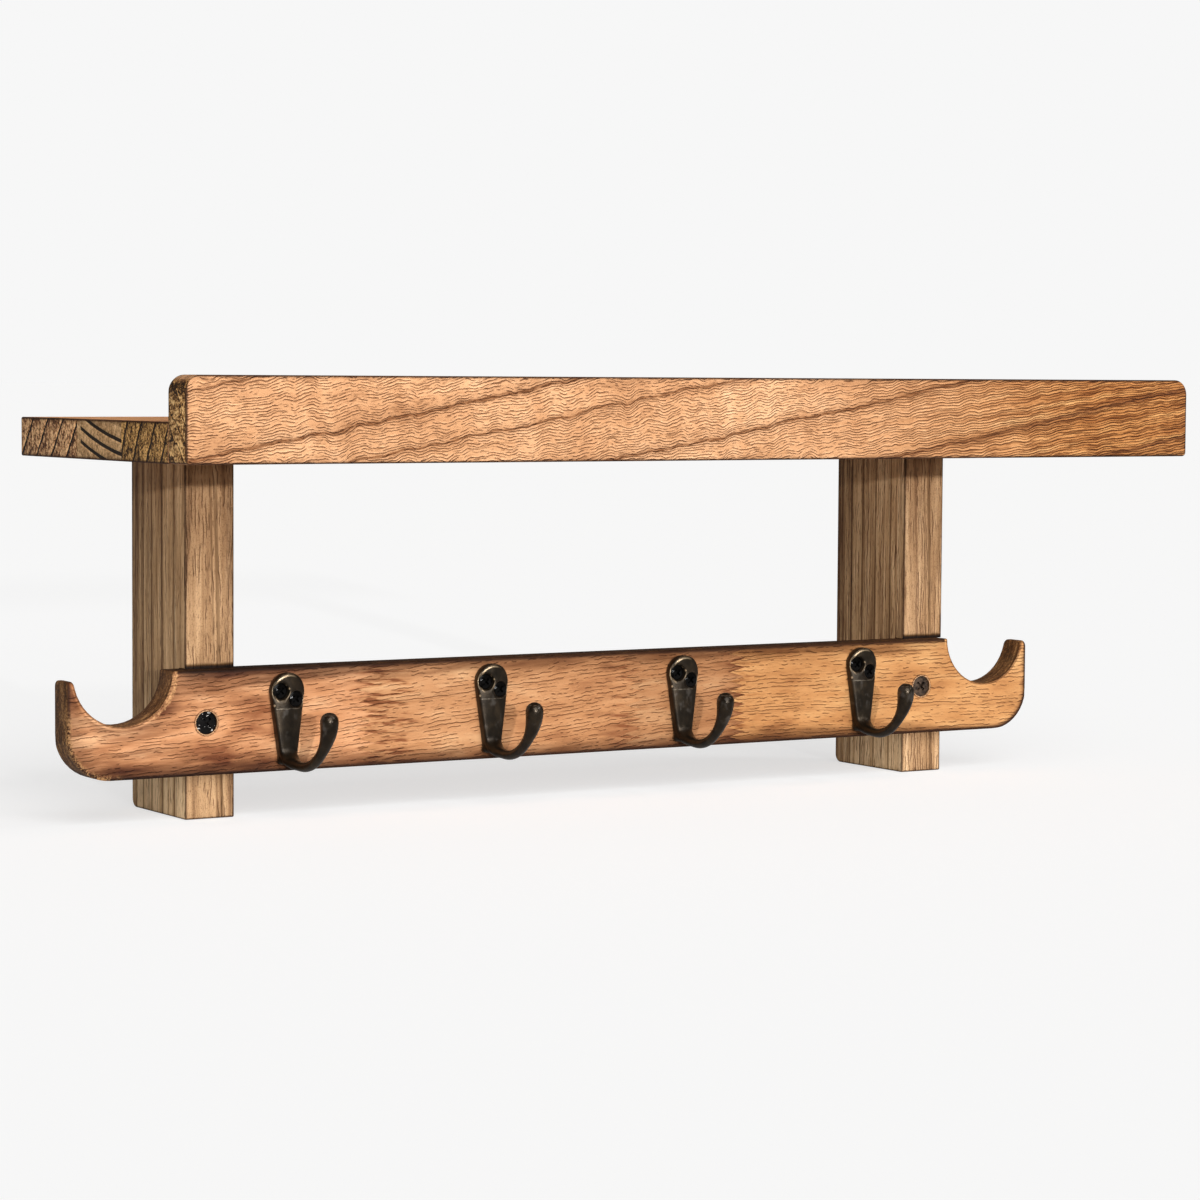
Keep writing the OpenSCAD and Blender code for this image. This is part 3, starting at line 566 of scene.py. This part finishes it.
def hook_metal(name, node):
    """Dark bronze, with worn edges and a painted highlight round the plate's upper left edge, and
    smoother on the knob.
    """
    g = Graph(name)
    x, y, z = g.x, g.y, g.z
    lo, hi = mm_box(node)
    aside, down, out = x - (lo[0] + hi[0]) / 2, hi[2] - z, hi[1] - y
    grain = g.noise(x / 0.55, y / 0.55, z / 0.55, 3.0, 0.6)
    cloud = g.noise(x / 5.0, y / 5.0, z / 7.0, 3.0, 0.55)
    bend = Val(g, g.new("ShaderNodeNewGeometry").outputs["Pointiness"])
    on_plate = g.rise(out, 14.0, 7.0)
    wear_and_highlight = g.rise(bend + grain * 0.02 + cloud * 0.015, 0.512, 0.55) * on_plate
    wear_and_highlight = wear_and_highlight * g.rise(down, 20.0, 14.0)
    colour = g.ramp(cloud + 0.5, [(0.25, tone(29, 23, 16)), (0.5, tone(44, 36, 26)),
                                  (0.8, tone(66, 54, 39))])
    lower = g.rise(down, 20.0, 34.0) * g.rise(out, 16.0, 8.0)
    colour = g.stain(lower * 0.6, colour, (0.45, 0.43, 0.38, 1))
    # a greyer patch below the screws, and a scratch above it
    patch = g.rise(g.noise(x / 4.0 + 5.0, y / 6.0, z / 6.0, 2.0), 0.02, 0.2)
    patch = patch * g.line(down, 21.0, 4.0, 6.0) * g.line(aside, -1.5, 3.0, 3.0)
    colour = g.mix(patch * 0.55, colour, tone(104, 98, 92))
    scratch = g.line(down, 15.8, 0.12, 0.25) * g.line(aside, -1.0, 4.5, 2.0)
    scratch = scratch * g.rise(g.noise(x / 1.2, y, z / 0.3, 1.0), -0.12, 0.08)
    colour = g.mix(scratch * 0.40, colour, tone(150, 138, 122))
    # a painted highlight along the front's edge round the plate's upper left
    above = 8.0 - down
    painted_highlight_crescent = g.line(g.away(aside, above), 6.8, 0.14, 0.36) * g.rise(above - aside * 1.3, 0.5, 6.5)
    painted_highlight_crescent = painted_highlight_crescent * g.rise(cloud, -0.25, 0.0) * on_plate
    # edge wear, with the painted highlight added to it
    wear_and_highlight = g.high(wear_and_highlight, painted_highlight_crescent * 0.8)
    colour = g.mix(wear_and_highlight * 0.85, colour, tone(196, 170, 136))
    knob = g.rise(y - lo[1], 11.0, 5.0) * g.rise(down, 25.0, 21.0)
    rough = cloud * 0.16 - g.high(wear_and_highlight * 0.08, knob * 0.10) + 0.36
    return g.finish(colour, rough, grain * 0.8 + cloud * 0.5, 0.00007, metallic=0.72)


def screw_metal(name, dark, pale, rough, metallic, specular=0.5, painted_glints=0.0):
    """Clouded metal between two tones. The last argument is how bright a few pale specks are,
    painted on as glints.
    """
    g = Graph(name)
    grain = g.noise(g.x / 0.35, g.y / 0.35, g.z / 0.35, 3.0, 0.6)
    cloud = g.noise(g.x / 1.8, g.y / 1.8, g.z / 1.8, 2.0)
    colour = g.mix(g.rise(cloud + grain * 0.4, -0.2, 0.25), dark, pale)
    if painted_glints:
        # pale specks painted on the head as glints
        glint_specks = g.noise(g.x / 1.9 + 3.0, g.y / 1.9, g.z / 0.9, 1.0, 0.5)
        colour = g.mix(g.rise(glint_specks, 0.17, 0.24) * painted_glints, colour, tone(206, 202, 196))
    return g.finish(colour, cloud * 0.1 + rough, grain, 0.00002, metallic, specular)


def dowel_wood():
    """Pale beech."""
    g = Graph("dowel_wood")
    opts = dict(
        PALE, dark=tone(196, 156, 112), mid=tone(222, 186, 142), pale=tone(232, 200, 158),
        glow=tone(244, 218, 180), end_dark=tone(170, 132, 92), end_mid=tone(204, 168, 124),
        end_pale=tone(226, 194, 152), painted_crest_highlight=0.3, pore_len=4.0, pore=0.35, line=0.25, burn=0.0,
        smoke=0.0)
    tint = g.noise(g.x / 3.0, g.y / 14.0, g.z / 3.0)
    end = g.rise(g.size(g.ny), 0.6, 0.9)
    return wood(g, g.y, g.x, g.z, g.x / 3.0, g.x / 2.0, end, 9.0, tint, opts)


def torn_wood():
    """Splintered wood, pale and brown."""
    g = Graph("torn_fibre")
    fibre = g.noise(g.x / 0.5, g.y / 0.3, g.z / 0.5, 3.0, 0.6)
    colour = g.ramp(fibre + 0.5, [(0.3, tone(96, 58, 32)), (0.6, tone(226, 176, 128))])
    return g.finish(colour, 0.7, fibre, 0.0002)


# ---------------------------------------------------------------- pieces


def raw_mesh(node):
    """A copy of a CAD node's shape with its seams joined."""
    source = NODES[node].data
    bm = bmesh.new()
    points = [bm.verts.new(v.co) for v in source.vertices]
    for poly in source.polygons:
        corners = [points[i] for i in poly.vertices]
        if len(set(corners)) == len(corners):
            try:
                bm.faces.new(corners)
            except ValueError:
                pass
    bmesh.ops.remove_doubles(bm, verts=bm.verts[:], dist=0.004 * MM)
    bmesh.ops.recalc_face_normals(bm, faces=bm.faces[:])
    return bm


def piece(name, bm, material, stands_for=None, smooth=35):
    """A new object from a mesh. Edges that turn by more than smooth degrees stay crisp."""
    bmesh.ops.recalc_face_normals(bm, faces=bm.faces[:])
    mesh = bpy.data.meshes.new(name)
    limit = math.radians(smooth)
    for face in bm.faces:
        face.smooth = True
    for edge in bm.edges:
        edge.smooth = not (len(edge.link_faces) == 2 and edge.calc_face_angle(0.0) > limit)
    bm.to_mesh(mesh)
    bm.free()
    mesh.materials.append(material)
    obj = bpy.data.objects.new(name, mesh)
    bpy.context.scene.collection.objects.link(obj)
    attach(obj, "root")
    if stands_for:
        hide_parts(stands_for)
    return obj


def bevel(bm, edges, width, segments):
    """Rounds edges. width is in metres."""
    bmesh.ops.bevel(bm, geom=edges, offset=width, segments=segments, profile=0.5, affect="EDGES",
                    clamp_overlap=False)


def tip_edges(bm):
    """The front and back edges of the tops of the rail's horns."""
    lo, hi = mm_box("hook_rail")
    found = []
    for edge in bm.edges:
        a, b = (v.co / MM for v in edge.verts)
        at_tip = min(a.x - lo[0], b.x - lo[0], hi[0] - a.x, hi[0] - b.x) < 3.5
        level = abs(a.y - b.y) < 0.01 and abs(a.z - b.z) < 0.01
        if at_tip and level and min(a.z, b.z) > hi[2] - 4.0:
            found.append(edge)
    return found


def on_rail_outline(point, lo, hi):
    """Whether a point on the rail, in millimetres, is on its ends, long edges or scoops."""
    side = min(point.x - lo[0], hi[0] - point.x)
    bottom, below_top = point.z - lo[2], hi[2] - point.z
    scoop = abs(math.hypot(side - SCOOP_INSET, below_top) - SCOOP_RADIUS)
    return min(side, bottom, below_top, scoop) <= 0.5


def eased_edges(node, bm):
    """The sharp edges that are eased round. Those of holes and glue joints stay crisp."""
    shelf = node.startswith("shelf")
    lo, hi = shelf_box() if shelf else mm_box(node)
    reach = 0.5 if shelf else 7.5
    found = []
    for edge in bm.edges:
        if len(edge.link_faces) != 2 or edge.calc_face_angle(0.0) < math.radians(40):
            continue
        point = (edge.verts[0].co + edge.verts[1].co) / 2 / MM
        if node == "hook_rail":
            wanted = on_rail_outline(point, lo, hi)
        else:
            # a short edge counts only beside large faces, because those of holes have small ones
            areas = [face.calc_area() / MM / MM for face in edge.link_faces]
            long = edge.calc_length() >= 3.5 * MM or min(areas) > 20 or max(areas) > 3000
            near = [min(p - low, high - p) < reach for p, low, high in zip(point, lo, hi)]
            if shelf:
                # the shelf's front edge is glued to the lip
                near[1] = hi[1] - point.y < reach
            wanted = long and sum(near) >= 2
        if wanted:
            found.append(edge)
    return found


def eased_board(node, material, width):
    """The board with its long edges eased by a width in millimetres."""
    bm = raw_mesh(node)
    bmesh.ops.dissolve_limit(bm, angle_limit=math.radians(0.4), verts=bm.verts[:],
                             edges=bm.edges[:])
    if node == "hook_rail":
        bevel(bm, tip_edges(bm), 2.8 * MM, 5)
    bevel(bm, eased_edges(node, bm), width * MM, 3)
    bmesh.ops.remove_doubles(bm, verts=bm.verts[:], dist=0.01 * MM)
    bmesh.ops.dissolve_degenerate(bm, dist=0.01 * MM, edges=bm.edges[:])
    return piece(f"{node}_board", bm, material, node)


def root_shapes():
    """Balls that fill the hollow between a plate's face and its prong, and square up the plate's
    lower end: how far sideways, out and down from the plate's top, then three radii. All in
    millimetres."""
    hollow, ball = 6.5, 2.4
    shapes = []
    for i in range(13):
        turn = math.radians(7.5 * i)
        wide = 2.5 + 1.8 * math.sin(2 * turn)
        out = 11.6 - (hollow + ball) * math.cos(turn)
        down = 31.2 + (hollow + ball) * math.sin(turn)
        shapes.append((0.0, out, down, wide, ball, ball))
    shapes += [(side, 2.1, 38.9, 1.9, 1.9, 1.9) for side in (-3.0, -1.0, 1.0, 3.0)]
    shapes += [(0.0, 3.0 + i, 38.4 + 0.2 * i, 4.3 - 0.25 * i, 2.4, 2.5) for i in range(6)]
    return shapes


def part_way(value, start, length):
    """0 up to start, then rising to 1 over a length."""
    return min(max((value - start) / length, 0.0), 1.0)


def cast_hook(node, material):
    """The hook as one casting, its prong running into the plate with a small fillet."""
    bm = raw_mesh(node)
    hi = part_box(node)[1]
    plate_front = hi.y - 5.2 * MM
    plate_back = [v.co.x for v in bm.verts if v.co.y > hi.y - 1.0 * MM]
    middle = (min(plate_back) + max(plate_back)) / 2
    for aside, out, down, *radii in root_shapes():
        place = Matrix.Translation((middle + aside * MM, hi.y - out * MM, hi.z - down * MM))
        place = place @ Matrix.Diagonal([radius * MM for radius in radii] + [1.0])
        bmesh.ops.create_icosphere(bm, subdivisions=3, radius=1.0, matrix=place)
    mesh = bpy.data.meshes.new("cast_source")
    bm.to_mesh(mesh)
    bm.free()
    source = bpy.data.objects.new("cast_source", mesh)
    bpy.context.scene.collection.objects.link(source)
    skin = source.modifiers.new("skin", "REMESH")
    skin.mode, skin.voxel_size, skin.use_smooth_shade = "VOXEL", 0.30 * MM, True
    root = source.vertex_groups.new(name="root")
    graph = bpy.context.evaluated_depsgraph_get()
    source.data = joined = bpy.data.meshes.new_from_object(source.evaluated_get(graph))
    source.modifiers.clear()
    # the lower front is smoothed much more than the rest
    for vert in joined.vertices:
        below = part_way(hi.z - vert.co.z, 22 * MM, 8 * MM)
        proud = part_way(plate_front - vert.co.y, -1.2 * MM, 1.6 * MM)
        root.add([vert.index], below * proud, "REPLACE")
    fair = source.modifiers.new("fair", "SMOOTH")
    fair.factor, fair.iterations, fair.vertex_group = 0.5, 60, "root"
    ease = source.modifiers.new("ease", "SMOOTH")
    ease.factor, ease.iterations = 0.5, 5
    done = source.evaluated_get(bpy.context.evaluated_depsgraph_get())
    bm = bmesh.new()
    bm.from_mesh(done.to_mesh())
    done.to_mesh_clear()
    bpy.data.objects.remove(source)
    # smoothing thins the prong, so it is swelled again towards its end
    bm.normal_update()
    for vert in bm.verts:
        vert.co += vert.normal * 0.26 * MM * part_way(plate_front - vert.co.y, 4 * MM, 20 * MM)
    return piece(f"{node}_casting", bm, material, node, smooth=80)


def torn_fibres(side, material, seed):
    """The ring of crushed wood that a rail screw's driven head pushes up."""
    lo, hi = mm_box(f"rail_screw_{side}")
    x, _, z = mm_centre(f"rail_screw_{side}")
    face = mm_box("hook_rail")[0][1]
    radius = (hi[0] - lo[0]) / 2 + 0.1
    bm = bmesh.new()
    around = 90
    rings = []
    for i in range(around):
        turn = 2 * math.pi * i / around
        c, s = math.cos(turn), math.sin(turn)
        rough = noise.noise(Vector((c * 3 + seed, s * 3, seed)))
        spike = noise.noise(Vector((c * 14, s * 14 + seed, 2.0)))
        # fullest at the lower right
        full = 0.5 + 0.5 * math.cos(turn + math.radians(40))
        high = max(0.05, (0.30 + 0.5 * rough + 0.9 * spike) * (0.45 + 0.55 * full))
        wide = max(0.12, 0.30 + 0.6 * (0.3 + 0.7 * full) * (0.4 + rough + 1.2 * spike))
        section = [(0.0, 0.25), (0.02, -high * 0.7), (wide * 0.4, -high), (wide * 0.8, -high * 0.5),
                   (wide, 0.25)]
        rings.append([bm.verts.new(((x + (radius + out) * c) * MM, (face + y) * MM,
                                    (z + (radius + out) * s) * MM)) for out, y in section])
    for i in range(around):
        a, b = rings[i], rings[(i + 1) % around]
        for j in range(len(a)):
            k = (j + 1) % len(a)
            bm.faces.new((a[j], a[k], b[k], b[j]))
    return piece(f"torn_fibres_{side}", bm, material, smooth=60)


eased_board("front_lip", lip_wood(), 0.6)
eased_board("hook_rail", rail_wood(), 0.8)
for stave in ("back", "middle", "front"):
    board = f"shelf_stave_{stave}"
    eased_board(board, stave_wood(f"shelf_wood_{stave}", board), 0.7)
for board, grain_shift in (("left_post", 0.35), ("right_post", 5.8)):
    eased_board(board, post_wood(f"{board}_wood", board, grain_shift), 0.6)
for number in (1, 2, 3, 4):
    hook = f"hook_{number}"
    cast_hook(hook, hook_metal(f"{hook}_bronze", hook))

zinc = screw_metal("screw_zinc", tone(150, 152, 150), tone(206, 206, 200), 0.34, 1.0)
LOOKS = (
    ("hook_", screw_metal("screw_black", tone(4, 3, 3), tone(10, 9, 8), 0.09, 0.0, 0.14)),
    ("rail_screw_left", screw_metal("screw_satin", tone(5, 4, 4), tone(14, 12, 11), 0.16, 0.0, 0.22,
                                    painted_glints=0.8)),
    ("rail_screw_right", screw_metal("screw_brown", tone(34, 25, 20), tone(92, 74, 60), 0.42, 0.4,
                                     0.4)),
    ("hanger_screw", screw_metal("screw_steel", tone(92, 92, 90), tone(150, 150, 146), 0.30, 1.0)),
    ("hanger_plate", zinc), ("shelf_screw", zinc), ("lip_dowel", dowel_wood()))
for name, node in NODES.items():
    if not node.hide_render:
        node.data.materials.clear()
        node.data.materials.append(next(look for start, look in LOOKS if name.startswith(start)))

chips = torn_wood()
for end_name, noise_seed in (("left", 1.0), ("right", 6.0)):
    torn_fibres(end_name, chips, noise_seed)


# ---------------------------------------------------------------- floor, light and camera

GROUND_HALF = 60.0
PAPER_GREY = 0.44
# how much the floor glows for every ray, and how much more where the camera sees it
PAPER_GLOW, PAPER_GLOW_SEEN = 0.14, 0.48
BACKDROP_GREY = 0.93
FILL_TINT, FILL_STRENGTH = (1.0, 0.985, 0.96, 1), 0.13

CAMERA_AT = (-0.8505, -1.4460, 0.0283)
CAMERA_YAW, CAMERA_PITCH, CAMERA_ROLL = 0.55141, -0.06404, 0.00608
CAMERA_LENS, CAMERA_SENSOR = 105.227, 36


def empty_tree(owner):
    """The owner's node tree with nothing in it."""
    owner.use_nodes = True
    owner.node_tree.nodes.clear()
    return owner.node_tree


def paper():
    """Pale paper that can't be seen from below."""
    material = bpy.data.materials.new("floor_paper")
    tree = empty_tree(material)
    sheet = tree.nodes.new("ShaderNodeBsdfDiffuse")
    sheet.inputs[0].default_value = grey(PAPER_GREY)
    ray = tree.nodes.new("ShaderNodeLightPath")
    glow = tree.nodes.new("ShaderNodeMath")
    glow.operation = "MULTIPLY_ADD"
    glow.inputs[1].default_value, glow.inputs[2].default_value = PAPER_GLOW_SEEN, PAPER_GLOW
    lift = tree.nodes.new("ShaderNodeEmission")
    both = tree.nodes.new("ShaderNodeAddShader")
    below = tree.nodes.new("ShaderNodeNewGeometry")
    clear = tree.nodes.new("ShaderNodeBsdfTransparent")
    choose = tree.nodes.new("ShaderNodeMixShader")
    output = tree.nodes.new("ShaderNodeOutputMaterial")
    for start, end in ((ray.outputs["Is Camera Ray"], glow.inputs[0]),
                       (glow.outputs[0], lift.inputs["Strength"]),
                       (sheet.outputs[0], both.inputs[0]), (lift.outputs[0], both.inputs[1]),
                       (below.outputs["Backfacing"], choose.inputs[0]),
                       (both.outputs[0], choose.inputs[1]), (clear.outputs[0], choose.inputs[2]),
                       (choose.outputs[0], output.inputs[0])):
        tree.links.new(start, end)
    return material


def floor():
    """A wide sheet just under the posts."""
    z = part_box("left_post")[0].z - 0.2 * MM
    corners = [(-1, -1), (1, -1), (1, 1), (-1, 1)]
    mesh = bpy.data.meshes.new("floor")
    mesh.from_pydata([(x * GROUND_HALF, y * GROUND_HALF, z) for x, y in corners], [],
                     [(0, 1, 2, 3)])
    mesh.materials.append(paper())
    obj = bpy.data.objects.new("floor", mesh)
    bpy.context.scene.collection.objects.link(obj)


def studio():
    """A pale backdrop to the camera, and a weak even fill light to everything else."""
    world = bpy.data.worlds.new("studio")
    bpy.context.scene.world = world
    tree = empty_tree(world)
    backdrop = tree.nodes.new("ShaderNodeBackground")
    backdrop.inputs[0].default_value = grey(BACKDROP_GREY)
    fill = tree.nodes.new("ShaderNodeBackground")
    fill.inputs[0].default_value, fill.inputs[1].default_value = FILL_TINT, FILL_STRENGTH
    ray = tree.nodes.new("ShaderNodeLightPath")
    pick = tree.nodes.new("ShaderNodeMixShader")
    output = tree.nodes.new("ShaderNodeOutputWorld")
    tree.links.new(ray.outputs["Is Camera Ray"], pick.inputs[0])
    tree.links.new(fill.outputs[0], pick.inputs[1])
    tree.links.new(backdrop.outputs[0], pick.inputs[2])
    tree.links.new(pick.outputs[0], output.inputs[0])


def sun(name, azimuth, elevation, strength, angle):
    """A distant light. Azimuth 0 shines from the front and negative comes from the left. All three
    angles are in degrees, and the last one is how wide the light is."""
    data = bpy.data.lights.new(name, "SUN")
    data.energy, data.angle = strength, math.radians(angle)
    obj = bpy.data.objects.new(name, data)
    a, e = math.radians(azimuth), math.radians(elevation)
    back = Vector((math.sin(a) * math.cos(e), -math.cos(a) * math.cos(e), math.sin(e)))
    obj.rotation_mode = "QUATERNION"
    obj.rotation_quaternion = back.to_track_quat("Z", "Y")
    bpy.context.scene.collection.objects.link(obj)


def camera():
    """The camera at the photograph's viewing angle."""
    cos_yaw, sin_yaw = math.cos(CAMERA_YAW), math.sin(CAMERA_YAW)
    cos_pitch, sin_pitch = math.cos(CAMERA_PITCH), math.sin(CAMERA_PITCH)
    cos_roll, sin_roll = math.cos(CAMERA_ROLL), math.sin(CAMERA_ROLL)
    ahead = Vector((sin_yaw * cos_pitch, cos_yaw * cos_pitch, sin_pitch))
    level = Vector((cos_yaw, -sin_yaw, 0.0))
    upright = level.cross(ahead)
    right = level * cos_roll + upright * sin_roll
    up = upright * cos_roll - level * sin_roll
    data = bpy.data.cameras.new("camera")
    data.sensor_width, data.lens = CAMERA_SENSOR, CAMERA_LENS
    data.clip_start, data.clip_end = 0.01, 200
    obj = bpy.data.objects.new("camera", data)
    turn = Matrix((right, up, -ahead)).transposed().to_4x4()
    obj.matrix_world = Matrix.Translation(CAMERA_AT) @ turn
    bpy.context.scene.collection.objects.link(obj)
    bpy.context.scene.camera = obj


floor()
studio()
sun("key", -14, 6, 1.5, 1.0)
sun("softbox", -12, 31, 2.7, 50)
sun("rim", 52, 38, 0.40, 12)
sun("glint", 6, 3, 0.34, 2)
bpy.context.scene.view_settings.view_transform = "Standard"
camera()
